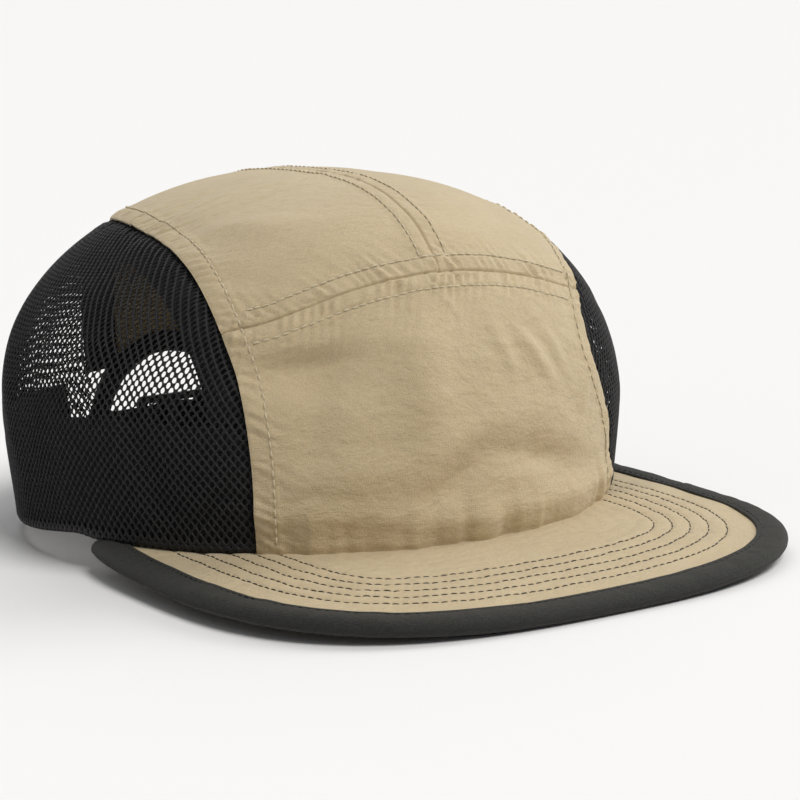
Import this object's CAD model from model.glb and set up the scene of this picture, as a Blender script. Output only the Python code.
# %% [markdown]
# # A technical cap, cloth by cloth
# The cap is a soft crown of khaki nylon and black mesh over a flat stitched brim.
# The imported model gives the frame: where each piece is and how large it is.
# Every piece below is made in millimetres on the same surface and then moved into that frame.

# %% Load the frame
import math

import bpy
import numpy as np
from mathutils import Matrix
from mathutils.kdtree import KDTree


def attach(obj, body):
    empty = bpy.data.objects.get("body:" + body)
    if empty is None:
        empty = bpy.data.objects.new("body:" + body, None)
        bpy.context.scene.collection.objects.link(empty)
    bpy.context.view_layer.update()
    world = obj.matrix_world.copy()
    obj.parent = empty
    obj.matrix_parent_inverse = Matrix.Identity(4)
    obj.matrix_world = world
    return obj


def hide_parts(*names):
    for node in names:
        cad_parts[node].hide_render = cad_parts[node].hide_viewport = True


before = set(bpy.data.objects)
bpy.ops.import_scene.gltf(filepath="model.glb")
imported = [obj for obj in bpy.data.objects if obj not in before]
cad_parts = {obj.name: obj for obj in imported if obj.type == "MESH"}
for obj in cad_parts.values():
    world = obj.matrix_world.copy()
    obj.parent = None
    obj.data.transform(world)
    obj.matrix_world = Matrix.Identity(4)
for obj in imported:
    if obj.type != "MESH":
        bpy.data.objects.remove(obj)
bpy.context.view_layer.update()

# %% [markdown]
# ## From millimetres to the frame
# A maker of caps thinks in millimetres, and Blender's own unit here is the metre.
# The middle of the cap's length is the frame's origin, so a point is also moved by that much.
# Meshes are filled with whole arrays at once, far quicker than adding points one by one.

# %% Units and small helpers
MM = 0.001
MIDDLE_Y = 2.5
ROOT = "root"
# the wearer's left is at positive x
SIDES = {"left": 1, "right": -1}
UP = np.array((0.0, 0.0, 1.0))


def in_metres(points):
    return (np.asarray(points, dtype=float) - (0.0, MIDDLE_Y, 0.0)) * MM


def unit(vectors):
    return vectors / np.maximum(np.linalg.norm(vectors, axis=-1, keepdims=True), 1e-12)


def smooth_step(low, high, value):
    """0 up to low, 1 from high on, and a soft climb between them."""
    t = np.clip((value - low) / (high - low), 0, 1)
    return t * t * (3 - 2 * t)


def run_along(points):
    """Length of a line up to each of its points."""
    steps = np.linalg.norm(np.diff(points, axis=0), axis=1)
    return np.concatenate([[0], np.cumsum(steps)])


def read_columns(wanted, run, columns):
    """Reads each column of a table at wanted lengths along a line."""
    return np.stack([np.interp(wanted, run, column) for column in columns.T], axis=-1)


def grid_map(us, vs):
    """A flat map of a grid from the places of its rows and of its columns."""
    return np.stack(np.meshgrid(us, vs, indexing="ij"), axis=-1)


# %% A mesh from arrays
def signed_volume(points, triangles):
    a, b, c = (points[triangles[:, k]] for k in range(3))
    return float(np.einsum("ij,ij->", a, np.cross(b, c))) / 6


def new_piece(name, points, uv, quads=(), triangles=()):
    """A smooth mesh object from arrays, turned so that its faces look outwards."""
    points = np.asarray(points, dtype=float)
    quads = np.asarray(quads, dtype=np.int32).reshape(-1, 4)
    triangles = np.asarray(triangles, dtype=np.int32).reshape(-1, 3)
    halves = np.concatenate([quads[:, [0, 1, 2]], quads[:, [0, 2, 3]], triangles])
    if signed_volume(points, halves) < 0:
        quads = quads[:, ::-1]
        triangles = triangles[:, ::-1]
    corners = np.concatenate([quads.ravel(), triangles.ravel()])
    sizes = np.concatenate([np.full(len(quads), 4), np.full(len(triangles), 3)])
    mesh = bpy.data.meshes.new(name)
    mesh.vertices.add(len(points))
    mesh.vertices.foreach_set("co", in_metres(points).ravel())
    mesh.loops.add(len(corners))
    mesh.loops.foreach_set("vertex_index", corners)
    mesh.polygons.add(len(sizes))
    mesh.polygons.foreach_set("loop_start", np.cumsum(sizes) - sizes)
    mesh.update(calc_edges=True)
    mesh.polygons.foreach_set("use_smooth", np.ones(len(sizes), dtype=bool))
    layer = mesh.uv_layers.new(name="cloth")
    layer.data.foreach_set("uv", np.asarray(uv, dtype=float)[corners].ravel())
    piece = bpy.data.objects.new(name, mesh)
    bpy.context.scene.collection.objects.link(piece)
    print(f"{name}: {2 * len(quads) + len(triangles)} triangles")
    return piece


def finish_piece(piece, material, slot, *nodes):
    """Gives a piece its material, its body and the solids that it stands for."""
    piece.data.materials.append(material)
    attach(piece, ROOT)
    if nodes:
        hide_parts(*nodes)
    return piece


# %% [markdown]
# ## The crown's surface
# A cap's crown is a squashed dome over an oval rim. One formula gives the whole of it:
# a section that lies between a circle and a square, squarer at the back than at the sides.
# The dome is drawn on a flat disc, whose edge is the rim and whose middle is the apex, so that
# seams and stitches can be placed on it like lines on a map.

# %% Crown sizes
RIM = {"half_width": 92.5, "half_length": 95.5, "centre_y": 32.0}
APEX = {"y": 22.0, "height": 108.0}
ROUNDNESS = {"front": 2.5, "side": 2.25, "back": 3.25}
FULLNESS = {"front": -0.05, "side": 0.12, "back": 0.11}
FULLNESS_RISE = 1.55
# y of a place on the rim, and its height above the floor
RIM_HEIGHT = [
    (-63.5, 9.3), (-27, 10.3), (-3, 10.8), (12, 10), (26, 8.2),
    (55, 5), (82.5, 2.9), (104.5, 1.2), (123, 0), (127.5, 0),
]


def read_table(rows, at):
    """Reads a short table between its rows, on a smooth curve."""
    place, value = np.array(rows, dtype=float).T
    last = len(place) - 1
    before = np.maximum(np.arange(last + 1) - 1, 0)
    after = np.minimum(np.arange(last + 1) + 1, last)
    slope = (value[after] - value[before]) / (place[after] - place[before])
    low = np.clip(np.searchsorted(place, at) - 1, 0, last - 1)
    span = place[low + 1] - place[low]
    t = np.clip((at - place[low]) / span, 0, 1)
    risen = smooth_step(0, 1, t)
    bend = slope[low] * t * (1 - t) ** 2 - slope[low + 1] * t * t * (1 - t)
    return value[low] * (1 - risen) + value[low + 1] * risen + bend * span


def blend_round(values, turn):
    """A value that changes smoothly from the front over the side to the back."""
    facing = np.cos(turn)
    end = np.where(facing > 0, values["front"], values["back"])
    return values["side"] + (end - values["side"]) * facing * facing


def rim_radius(turn):
    return 1 / np.hypot(np.sin(turn) / RIM["half_width"], np.cos(turn) / RIM["half_length"])


def rim_height(turn):
    return read_table(RIM_HEIGHT, RIM["centre_y"] - rim_radius(turn) * np.cos(turn))


# %% The crown as a function of the disc
def disc_point(turn, share):
    """A place on the disc: the turn from the front, and 0 at the apex to 1 at the rim."""
    return np.stack([share * np.sin(turn), -share * np.cos(turn)], axis=-1)


def turn_of(disc):
    return np.arctan2(disc[..., 0], -disc[..., 1])


def share_at_height(turn, height):
    """How far out on the disc the crown has a given height."""
    power = blend_round(ROUNDNESS, turn)
    base = rim_height(turn)
    lift = np.clip((height - base) / (APEX["height"] - base), 0, 1)
    reach = (1 - lift ** power) ** (1 / power)
    return 1 - np.arctan2(lift, reach) / (np.pi / 2)


def crown(disc):
    """Points of the bare crown, in millimetres."""
    turn = turn_of(disc)
    climb = np.clip(1 - np.linalg.norm(disc, axis=-1), 0, 1) * np.pi / 2
    power = blend_round(ROUNDNESS, turn)
    size = (np.cos(climb) ** power + np.sin(climb) ** power) ** (-1 / power)
    lift = np.clip(np.sin(climb) * size, 0, 1)
    bow = blend_round(FULLNESS, turn) * np.sin(np.pi * lift ** FULLNESS_RISE)
    radius = np.cos(climb) * size * (1 + bow) * rim_radius(turn)
    base = rim_height(turn)
    centre_y = RIM["centre_y"] + (APEX["y"] - RIM["centre_y"]) * lift * lift
    height = base + lift * (APEX["height"] - base)
    return np.stack([radius * np.sin(turn), centre_y - radius * np.cos(turn), height], axis=-1)


# %% Where the rim settles on the brim
# turn from the front, and how far the cloth's lower edge is drawn down to the brim
RIM_DROP = [(0, 0.5), (36, 0.6), (50, 1.6), (60, 2.0), (72, 2.0), (80, 0.0), (90, 0.0)]
DROP_REACH = 5.0


def settle(points, disc):
    """Draws the lowest part of the crown down on to the brim."""
    turn = turn_of(disc)
    drop = read_table(RIM_DROP, np.degrees(np.abs(turn)))
    above = np.maximum(points[..., 2] - rim_height(turn), 0)
    return points - UP * (drop * np.exp(-above / DROP_REACH))[..., None]


# %% Directions of the cloth
def crown_frame(disc):
    """Directions along the cloth, level and up, and the one straight out of it."""
    step = 0.004
    size = np.linalg.norm(disc, axis=-1, keepdims=True)
    inner = disc * np.minimum(1, (1 - 2 * step) / np.maximum(size, step))
    along_x = crown(inner + (step, 0)) - crown(inner - (step, 0))
    along_y = crown(inner + (0, step)) - crown(inner - (0, step))
    out = unit(np.cross(along_x, along_y))
    level = unit(np.stack([-out[..., 1], out[..., 0], np.zeros_like(out[..., 0])], axis=-1))
    return level, np.cross(out, level), out


# %% [markdown]
# ## Seams
# Five panels meet on seams: one down each side between khaki and mesh, one across the forehead
# and one along the middle of the top. Each is a short table of places on the crown. A smooth
# curve runs through them, the same kind of curve that cut the panels of the solid model.
# On the wearer's left the soft crown is pushed a little forward, so that seam is moved along,
# and it meets the forehead seam a few millimetres nearer the middle.

# %% Seam tables
# turn in degrees round from the front, and height above the floor
SEAM_UP_FRONT = {
    "right": [(40.5, 9.9), (40.5, 24), (41.3, 39), (43.5, 55)],
    "left": [(40.5, 9.9), (42.8, 25), (41.5, 37), (39.2, 46), (38.4, 55), (40.6, 64.5)],
}
SEAM_CORNER = {"right": (48.5, 70.3), "left": (45, 71.4)}
SEAM_OVER_TOP = [
    (57.2, 83), (68.5, 89.9), (87.3, 93.7), (111, 94.9), (132, 94.4),
    (147.5, 91.5), (156.5, 84), (161.5, 76), (164.3, 64), (165.6, 50), (166, 37),
]
SEAM_END = 166
SEAM_FOOT = 40.5
FOREHEAD_SEAM = [(0, 83.5), (12, 82.7), (23, 80.3), (32, 76.8), (40, 73.2)]
ARCH = {"half_turn": 18.0, "height": 40.0, "rows": 13}


def table_discs(rows):
    """Disc points of rows that give a turn and a height."""
    turn, height = np.array(rows, dtype=float).T
    return disc_point(np.radians(turn), share_at_height(np.radians(turn), height))


def arch_height(turn_degrees):
    """Height of the arch's edge at a turn near the back."""
    share = (180 - np.asarray(turn_degrees, dtype=float)) / ARCH["half_turn"]
    base = rim_height(np.radians(turn_degrees))
    return base + ARCH["height"] * np.sqrt(np.maximum(1 - share * share, 0))


# %% A smooth curve on the disc
STEPS_A_ROW = 40


def spline_at(points, place):
    """A smooth curve through points; place counts them from 0."""
    points = np.asarray(points, dtype=float)
    last = len(points) - 1
    low = np.clip(np.floor(place).astype(int), 0, last - 1)
    t = (place - low)[:, None]
    a, b = points[np.maximum(low - 1, 0)], points[low]
    c, d = points[low + 1], points[np.minimum(low + 2, last)]
    return 0.5 * (2 * b + (c - a) * t + (2 * a - 5 * b + 4 * c - d) * t ** 2
                  + (3 * b - a - 3 * c + d) * t ** 3)


class Path:
    """Evenly spaced places on part of a smooth curve over the disc."""

    def __init__(self, points, start=0, end=None, side=1):
        end = len(points) - 1 if end is None else end
        samples = spline_at(points, np.linspace(start, end, STEPS_A_ROW * (end - start) + 1))
        self.samples = samples * (side, 1)
        self.run = run_along(self.samples)

    def __call__(self, t):
        wanted = np.asarray(t, dtype=float) * self.run[-1]
        return read_columns(wanted, self.run, self.samples)


# %% Where the seams run on the disc
over_top = SEAM_OVER_TOP + [(SEAM_END, float(arch_height(SEAM_END)))]
seam_discs = {word: table_discs(rows + [SEAM_CORNER[word]] + over_top)
              for word, rows in SEAM_UP_FRONT.items()}
seam_corner = {word: len(rows) for word, rows in SEAM_UP_FRONT.items()}
print("rows in each side seam:", {word: len(discs) for word, discs in seam_discs.items()})


def arch_path(from_turn, to_turn, side=1):
    """The arch's edge between two turns."""
    turns = np.linspace(from_turn, to_turn, ARCH["rows"])
    return Path(table_discs(list(zip(turns, arch_height(turns)))), side=side)


# %% [markdown]
# ## Measuring from a seam
# Puckers, grooves and stitches all depend on two numbers: how far a place is from a line, and
# how far along that line it lies. A k-d tree answers both quickly. It sorts the line's points
# once, and then finds the nearest one without trying them all.

# %% Measured lines
class MeasuredLine:
    """A line of points with its length in millimetres and a quick search."""

    def __init__(self, points):
        self.points = points
        self.run = run_along(points)
        self.tree = KDTree(len(points))
        for index, point in enumerate(points):
            self.tree.insert(point, index)
        self.tree.balance()

    def near(self, points):
        """Distance of each point from the line, and how far along the line it is."""
        flat = points.reshape(-1, 3)
        found = [self.tree.find(point) for point in flat]
        distance = np.array([hit[2] for hit in found]).reshape(points.shape[:-1])
        run = self.run[np.array([hit[1] for hit in found])].reshape(points.shape[:-1])
        return distance, run


class Seam(MeasuredLine):
    """A measured line on the bare crown that also keeps its place on the disc."""

    def __init__(self, disc):
        super().__init__(crown(disc))
        self.disc = disc


# %% Seams of this cap
FINE = 1400
fine_steps = np.linspace(0, 1, FINE)
rim_turns = np.radians(np.linspace(-SEAM_FOOT, SEAM_FOOT, FINE))
seams = {f"side_{word}": Seam(Path(seam_discs[word], side=side)(fine_steps))
         for word, side in SIDES.items()}
forehead_half = {word: Path(table_discs(FOREHEAD_SEAM + [SEAM_CORNER[word]]), side=side)
                 for word, side in SIDES.items()}
seams["forehead"] = Seam(np.concatenate([forehead_half["right"](fine_steps[::-1])[:-1],
                                         forehead_half["left"](fine_steps)]))
centre_front = forehead_half["left"](0)
centre_back = arch_path(SEAM_END, 180)(1)
seams["centre"] = Seam(centre_front + (centre_back - centre_front) * fine_steps[:, None])
seams["rim"] = Seam(disc_point(rim_turns, np.ones(FINE)))
arch_turns = np.linspace(180 - ARCH["half_turn"], 180 + ARCH["half_turn"], FINE)
arch_share = share_at_height(np.radians(arch_turns), arch_height(180 - np.abs(arch_turns - 180)))
seams["arch"] = Seam(disc_point(np.radians(arch_turns), arch_share))
for name, seam in seams.items():
    print(f"seam {name}: {seam.run[-1]:.0f} mm")

# %% [markdown]
# ## Folds and puckers
# Nylon this thin never lies flat. Broad folds come from how the crown stands on its rim, small
# creases from being folded in a bag, and puckers from thread that is tighter than the cloth.
# All of them are real shapes here: a height added along the cloth's own outward direction.
# Random ones use a fixed seed, so the cap comes out the same each time.

# %% Broad folds
# turn, height, half length, half width, slant in degrees, lift in millimetres
FOLDS = [
    (-31, 58.5, 18, 6.5, -3, -4.0),
    (-30, 63, 17, 3.6, 4, -2.2),
    (-30, 45, 14, 6.5, 80, -2.0),
    (-9, 50, 20, 8, 82, 2.6),
    (-4, 28, 14, 4.4, 38, -2.4),
    (15, 29, 18, 5, -14, -2.6),
    (8, 41, 20, 6, 12, 1.2),
    (18, 58, 11, 3, -58, 1.3),
    (24, 60, 10, 2.6, -65, 0.8),
    (10, 62, 9, 2.6, -75, 0.8),
    (-25, 30, 22, 6, 5, 1.6),
    (27, 40, 9, 4, -40, -0.6),
    (-85, 103, 22, 2.4, 80, 0.8),
    (-98, 99, 20, 2.2, 95, -0.7),
    (-70, 105.5, 20, 2.4, 70, 0.7),
    (-60, 103, 18, 2.6, 60, -0.6),
    (-110, 97, 16, 2.2, 100, 0.6),
    (-48, 97, 24, 6, 8, 0.9),
    (-75, 95, 20, 7, 0, -0.8),
    (35, 92, 20, 8, 30, -1),
]
# straight through the cap a fold fades out over this distance, so the far side stays free of it
FOLD_REACH = 30.0


def place_folds(rows):
    """Centre, direction along, direction across, way out and sizes of each fold."""
    rows = np.array(rows, dtype=float)
    turn = np.radians(rows[:, 0])
    disc = disc_point(turn, share_at_height(turn, rows[:, 1]))
    level, up, out = crown_frame(disc)
    slant = np.radians(rows[:, 4])[:, None]
    along = level * np.cos(slant) + up * np.sin(slant)
    return crown(disc), along, np.cross(out, along), out, rows[:, 2], rows[:, 3], rows[:, 5]


def fold_lift(points, placed, reach=FOLD_REACH):
    """Height of all the folds together, at each point."""
    flat = points.reshape(-1, 3)
    lift = np.zeros(len(flat))
    for centre, along, across, out, long, wide, height in zip(*placed):
        away = flat - centre
        size = (away @ along / long) ** 2 + (away @ across / wide) ** 2 + (away @ out / reach) ** 2
        lift += height * np.exp(-size)
    return lift.reshape(points.shape[:-1])


main_folds = place_folds(FOLDS)
print("broad folds:", len(FOLDS))

# %% Small creases
CREASES = {"count": 170, "seed": 11, "share_all_round": 0.35, "slant": 40, "lift": 0.2}
# the least and the most of each measure: turns in degrees, the rest in millimetres
CREASE_RANGE = {"front": (-60, 60), "all": (-180, 180), "height": (14, 104),
                "long": (6, 20), "wide": (1.6, 3.8)}
CREASE_REACH = 12.0


def random_creases():
    chance = np.random.default_rng(CREASES["seed"])
    rows = []
    for _ in range(CREASES["count"]):
        turn = chance.uniform(*CREASE_RANGE["front"])
        if chance.uniform() < CREASES["share_all_round"]:
            turn = chance.uniform(*CREASE_RANGE["all"])
        height = chance.uniform(*CREASE_RANGE["height"])
        long = chance.uniform(*CREASE_RANGE["long"])
        wide = chance.uniform(*CREASE_RANGE["wide"])
        slant = chance.normal(0, CREASES["slant"])
        rows.append((turn, height, long, wide, slant, chance.normal(0, CREASES["lift"])))
    return rows


small_creases = place_folds(random_creases())
print("small creases:", CREASES["count"])

# %% [markdown]
# ## Beside a sewn line
# The edge of the cloth is turned in along a seam, so it is thicker up to just past the stitches,
# and the seam itself lies in a groove. Each needle hole is a small pit. Thread that is tighter
# than the cloth pulls it into slanted ribs between the seam and the stitches, and they fade out
# over the panel. All of this depends only on the distance from the seam and the place along it.

# %% Ripples and humps
RIPPLE_POINTS = 400


def ripple(run, spacing, seed):
    """Smooth random waves along a line."""
    heights = np.random.default_rng(seed).normal(0, 1, RIPPLE_POINTS)
    place = np.clip(run / spacing, 0, RIPPLE_POINTS - 2)
    low = place.astype(int)
    t = smooth_step(0, 1, place - low)
    return heights[low] * (1 - t) + heights[low + 1] * t


def hump(away, half_width):
    """1 in the middle, fading out over about twice the half width."""
    return np.exp(-(away / half_width) ** 2)


# %% Puckers along a sewn line
STITCH_ROW = {"side": 6.0, "forehead": 5.0, "centre": 4.6}
STITCH_PITCH = 2.6
# how high or deep, and how far it reaches; the allowance ends over a stretch past the stitches
ALLOWANCE = {"height": 0.3, "ends": (0.2, 1.8)}
HOLLOW = {"depth": 0.15, "half_width": 1.4}
PULL = {"depth": 0.2, "half_width": 0.6}
NEEDLE = {"depth": 0.35, "half_width": 0.4}
GROOVE = 0.34
# puckers: their width between seam and stitches as a share of the way, and how they fade beyond
BETWEEN = 0.42
FADE = {"share": 0.6, "starts_over": 1.5, "length": 4.5}
RIB = {"spacing": 3.4, "slant": 0.5, "strength": 0.7}
# spacing and strength of the chance in the ribs
UNEVEN = {"phase": (8.0, 1.6), "strength": (6.0, 0.4), "fine": (1.9, 0.7), "broad": (4.7, 0.6)}


def uneven(kind, run, seed):
    spacing, strength = UNEVEN[kind]
    return strength * ripple(run, spacing, seed)


def ribs_of_seam(distance, run, seed):
    """Slanted ribs of uneven strength, with finer and broader waves in them."""
    slanted = run + RIB["slant"] * distance
    ribs = np.sin(2 * np.pi * slanted / RIB["spacing"] + uneven("phase", run, seed + 2))
    ribs = ribs * (RIB["strength"] + uneven("strength", run, seed + 3))
    return ribs + uneven("fine", slanted, seed) + uneven("broad", run, seed + 1)


def sewn_relief(distance, run, row, seed, valley=0.75, pucker=0.42):
    """Height of the cloth beside a seam with one row of topstitching."""
    ends = (row + end for end in ALLOWANCE["ends"])
    allowance = ALLOWANCE["height"] * (1 - smooth_step(*ends, distance))
    hollow = HOLLOW["depth"] * hump(distance, HOLLOW["half_width"])
    turned_in = -valley * hump(distance, GROOVE) - hollow
    pulled = -PULL["depth"] * hump(distance - row, PULL["half_width"])
    off = np.abs((run / STITCH_PITCH + 0.5) % 1 - 0.5) * STITCH_PITCH
    size = NEEDLE["half_width"]
    needle = -NEEDLE["depth"] * np.exp(-(off / size) ** 2 - ((distance - row) / size) ** 2)
    between = hump(distance - row / 2, BETWEEN * row)
    begun = FADE["share"] * smooth_step(row, row + FADE["starts_over"], distance)
    beyond = begun * np.exp(-(distance - row) / FADE["length"])
    ribs = ribs_of_seam(distance, run, seed)
    return allowance + turned_in + pulled + needle + pucker * ribs * (between + beyond)


# %% Relief of the khaki cloth
# a seed for each side of a sewn line, and where it differs from a plain one
SEWN = {
    "side_left": {"seed": 24, "valley": 0.2, "pucker": 0.3},
    "side_right": {"seed": 16, "valley": 0.2, "pucker": 0.3},
    "forehead_above": {"seed": 30},
    "forehead_below": {"seed": 34},
    "centre_left": {"seed": 40, "pucker": 0.2},
    "centre_right": {"seed": 44, "pucker": 0.2},
}
# the top panels lie above this slanted plane, the front panel below it
TOP_PLANE = {"slope": 0.64, "height": 54.5}
# the cloth bulges just above the brim: millimetres along the rim from the wearer's right,
# and the height of the bulge's crest above the rim
ROLL_CREST = [(0, 11), (35, 9.5), (60, 7), (100, 6.5), (132, 6.5)]
ROLL = {"lift": 1.4, "half_width": 4.2}
# along the rim: spacing, height and seed of each set of puckers, and how far up they reach
RIM_PUCKERS = [(3.2, 0.45, 60), (7.5, 0.5, 61)]
RIM_PUCKER_REACH = 9
RIM_GROOVE = {"depth": 0.5, "half_width": 1.2}
# the cloth lies smooth under the hem of the arch
ARCH_SMOOTH = (3, 12)


def khaki_lift(points):
    """Everything that lifts or sinks the khaki cloth of the crown."""
    lift = fold_lift(points, main_folds) + fold_lift(points, small_creases, CREASE_REACH)
    on_left = points[..., 0] > 0
    above = points[..., 2] + TOP_PLANE["slope"] * points[..., 1] > TOP_PLANE["height"]
    places = {name: seam.near(points) for name, seam in seams.items()}
    for name, here in (("side_left", on_left), ("side_right", ~on_left)):
        relief = sewn_relief(*places[name], STITCH_ROW["side"], **SEWN[name])
        lift += np.where(here, relief, 0)
    for name, here, one, other in (("forehead", above, "above", "below"),
                                   ("centre", on_left, "left", "right")):
        two = [sewn_relief(*places[name], STITCH_ROW[name], **SEWN[f"{name}_{word}"])
               for word in (one, other)]
        lift += np.where(here, *two)
    lift *= smooth_step(*ARCH_SMOOTH, places["arch"][0])
    distance, run = places["rim"]
    lift += ROLL["lift"] * hump(distance - read_table(ROLL_CREST, run), ROLL["half_width"])
    puckers = sum(height * ripple(run, spacing, seed) for spacing, height, seed in RIM_PUCKERS)
    lift += hump(distance, RIM_PUCKER_REACH) * puckers
    lift -= RIM_GROOVE["depth"] * hump(distance, RIM_GROOVE["half_width"])
    return lift


# %% [markdown]
# ## Panels between seams
# Each panel is a grid stretched between four edges. The grid is finer near the edges, where the
# cloth turns in and the puckers are. The outer face gets the folds, the inner face follows it at
# the cloth's thickness, and the two are closed round the border into one solid sheet.

# %% Places along a grid
# step in millimetres: at the very edge, a millimetre in, and the zone over which it widens
GRADED = {"edge": 0.2, "near": 0.42, "zone": (2, 9.0)}


def graded(length, middle):
    """Places from 0 to 1 that lie closer together near both ends."""
    edge, near = GRADED["edge"], GRADED["near"]
    places = [0.0]
    while places[-1] < length:
        to_end = max(min(places[-1], length - places[-1]), 0)
        widening = (middle - near) * float(smooth_step(*GRADED["zone"], to_end))
        places.append(places[-1] + (edge + (near - edge) * min(to_end, 1) + widening))
    return np.array(places) / places[-1]


def patch(bottom, top, left, right, us, vs):
    """A smooth grid between four edges, each a function of 0 to 1."""
    u, v = us[:, None, None], vs[None, :, None]
    low, high = bottom(us)[:, None], top(us)[:, None]
    west, east = left(vs)[None], right(vs)[None]
    corners = ((1 - u) * (1 - v) * low[:1] + u * (1 - v) * low[-1:]
               + (1 - u) * v * high[:1] + u * v * high[-1:])
    return (1 - v) * low + v * high + (1 - u) * west + u * east - corners


def as_wall(disc):
    """Turn and share of disc points: a flat map of the crown's wall."""
    return np.stack([turn_of(disc), np.linalg.norm(disc, axis=-1)], axis=-1)


def from_wall(wall):
    return disc_point(wall[..., 0], wall[..., 1])


# %% Sheets between two grids
CLOTH = 0.7


def grid_faces(rows, columns):
    index = np.arange(rows * columns).reshape(rows, columns)
    corners = [index[:-1, :-1], index[1:, :-1], index[1:, 1:], index[:-1, 1:]]
    return np.stack(corners, axis=-1).reshape(-1, 4)


def thick_sheet(name, outer, inner, uv):
    """A closed sheet between two grids with the same rows and columns."""
    rows, columns = outer.shape[:2]
    count = rows * columns
    face = grid_faces(rows, columns)
    index = np.arange(count).reshape(rows, columns)
    border = np.concatenate([index[:-1, 0], index[-1, :-1], index[:0:-1, -1], index[0, :0:-1]])
    after = np.roll(border, -1)
    rim = np.stack([border, border + count, after + count, after], axis=-1)
    quads = np.concatenate([face, face[:, ::-1] + count, rim[:, ::-1]])
    points = np.concatenate([outer.reshape(-1, 3), inner.reshape(-1, 3)])
    return new_piece(name, points, np.concatenate([uv.reshape(-1, 2)] * 2), quads)


def cloth_panel(name, disc, uv):
    """A panel of khaki cloth on the crown, with all its folds."""
    points = crown(disc)
    out = crown_frame(disc)[2]
    outer = settle(points, disc) + out * khaki_lift(points)[..., None]
    inner = outer - out * CLOTH
    return thick_sheet(name, outer, inner, uv)


# %% Front panel
# millimetres across and up, and the widest step of the grid each way
FRONT = {"size": (125.0, 75.0), "steps": (0.62, 0.75)}


def front_disc():
    """Disc points of the front panel's grid, and its flat map in millimetres of cloth."""
    low = {word: Path(seam_discs[word], 0, seam_corner[word], side) for word, side in SIDES.items()}

    def forehead(t):
        share = np.abs(2 * t - 1)
        halves = [forehead_half[word](share) for word in ("right", "left")]
        return as_wall(np.where(t[:, None] < 0.5, *halves))

    def rim(t):
        return np.stack([np.radians(SEAM_FOOT) * (2 * t - 1), np.ones_like(t)], axis=-1)

    (width, height), steps = FRONT["size"], FRONT["steps"]
    across, up = graded(width, steps[0]), graded(height, steps[1])
    grid = patch(rim, forehead, lambda t: as_wall(low["right"](t)),
                 lambda t: as_wall(low["left"](t)), across, up)
    return from_wall(grid), grid_map(across * width, up * height)


front_panel = cloth_panel("front_panel_cloth", *front_disc())

# %% Top panels
TOP = {"size": (55.0, 215.0), "steps": (0.65, 0.8)}


def top_disc(word):
    """The same for half of the top, from the forehead over the apex to the arch."""
    high = Path(seam_discs[word], seam_corner[word], None, SIDES[word])
    end = arch_path(SEAM_END, 180, SIDES[word])
    front, back = forehead_half[word](0), end(1)
    (width, length), steps = TOP["size"], TOP["steps"]
    across, along = graded(width, steps[0]), graded(length, steps[1])
    grid = patch(lambda t: forehead_half[word](1 - t), end, high,
                 lambda t: front + (back - front) * t[:, None], across, along)
    return grid, grid_map(across * width, along * length)


top_panels = {word: cloth_panel(f"top_panel_{word}_cloth", *top_disc(word)) for word in SIDES}

# %% [markdown]
# ## Khaki nylon
# The crown and brim are a brushed nylon plain weave. From a metre away the yarns can't be told
# apart, but their uneven thickness shows as short streaks along and across the cloth.
# Two stretched noises, one for each set of yarns, give both the streaks' colour and their bump.
# The UV map is in millimetres of cloth, so the streaks follow each panel as it was cut.

# %% A small kit for finishes
def new_finish(name, sockets):
    """A material whose even values sit on the shader itself."""
    material = bpy.data.materials.new(name)
    material.use_nodes = True
    shader = material.node_tree.nodes["Principled BSDF"]
    for socket, value in sockets.items():
        shader.inputs[socket].default_value = value
    print("finish:", name)
    return material, shader


def add_node(material, kind, inputs=None, **settings):
    """Adds a node. An input is given a value, or the output of another node."""
    node = material.node_tree.nodes.new(kind)
    for key, value in settings.items():
        setattr(node, key, value)
    for key, value in (inputs or {}).items():
        if isinstance(value, bpy.types.NodeSocket):
            material.node_tree.links.new(value, node.inputs[key])
        else:
            node.inputs[key].default_value = value
    return node


def cloth_place(material):
    """The cloth's own map."""
    return add_node(material, "ShaderNodeUVMap", uv_map="cloth").outputs["UV"]


def noise(material, place, scale, detail):
    node = add_node(material, "ShaderNodeTexNoise",
                    {"Vector": place, "Scale": scale, "Detail": detail})
    return node.outputs["Fac"]


def waves(material, place, scale, distortion, direction):
    node = add_node(material, "ShaderNodeTexWave",
                    {"Vector": place, "Scale": scale, "Distortion": distortion, "Detail": 2.0},
                    bands_direction=direction)
    return node.outputs["Fac"]


def streaks(material, stretch, scale=1.0, detail=3.0, place=None):
    """Noise on the cloth's own map, stretched by so much each way."""
    place = place or cloth_place(material)
    mapping = add_node(material, "ShaderNodeMapping", {"Vector": place, "Scale": (*stretch, 1.0)})
    return noise(material, mapping.outputs["Vector"], scale, detail)


# %% Colour and bump of a finish
def combine(material, operation, first, second):
    """Two values joined by an operation such as ADD or MULTIPLY."""
    node = add_node(material, "ShaderNodeMath", {0: first, 1: second}, operation=operation)
    return node.outputs["Value"]


def colours(material, factor, low, high, span=(0.3, 0.7)):
    """A colour that runs from low to high as the factor crosses the span."""
    ramp = add_node(material, "ShaderNodeValToRGB", {"Fac": factor})
    for stop, place, colour in zip(ramp.color_ramp.elements, span, (low, high)):
        stop.position = place
        stop.color = (*colour, 1.0)
    return ramp.outputs["Color"]


def bump(material, shader, height, depth_mm, strength):
    """Tilts the light on the surface as a relief of this depth would."""
    node = add_node(material, "ShaderNodeBump",
                    {"Height": height, "Distance": depth_mm * MM, "Strength": strength})
    material.node_tree.links.new(node.outputs["Normal"], shader.inputs["Normal"])


def paint(material, shader, socket, value):
    """Lets a socket of the shader follow a node's output."""
    material.node_tree.links.new(value, shader.inputs[socket])


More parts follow.
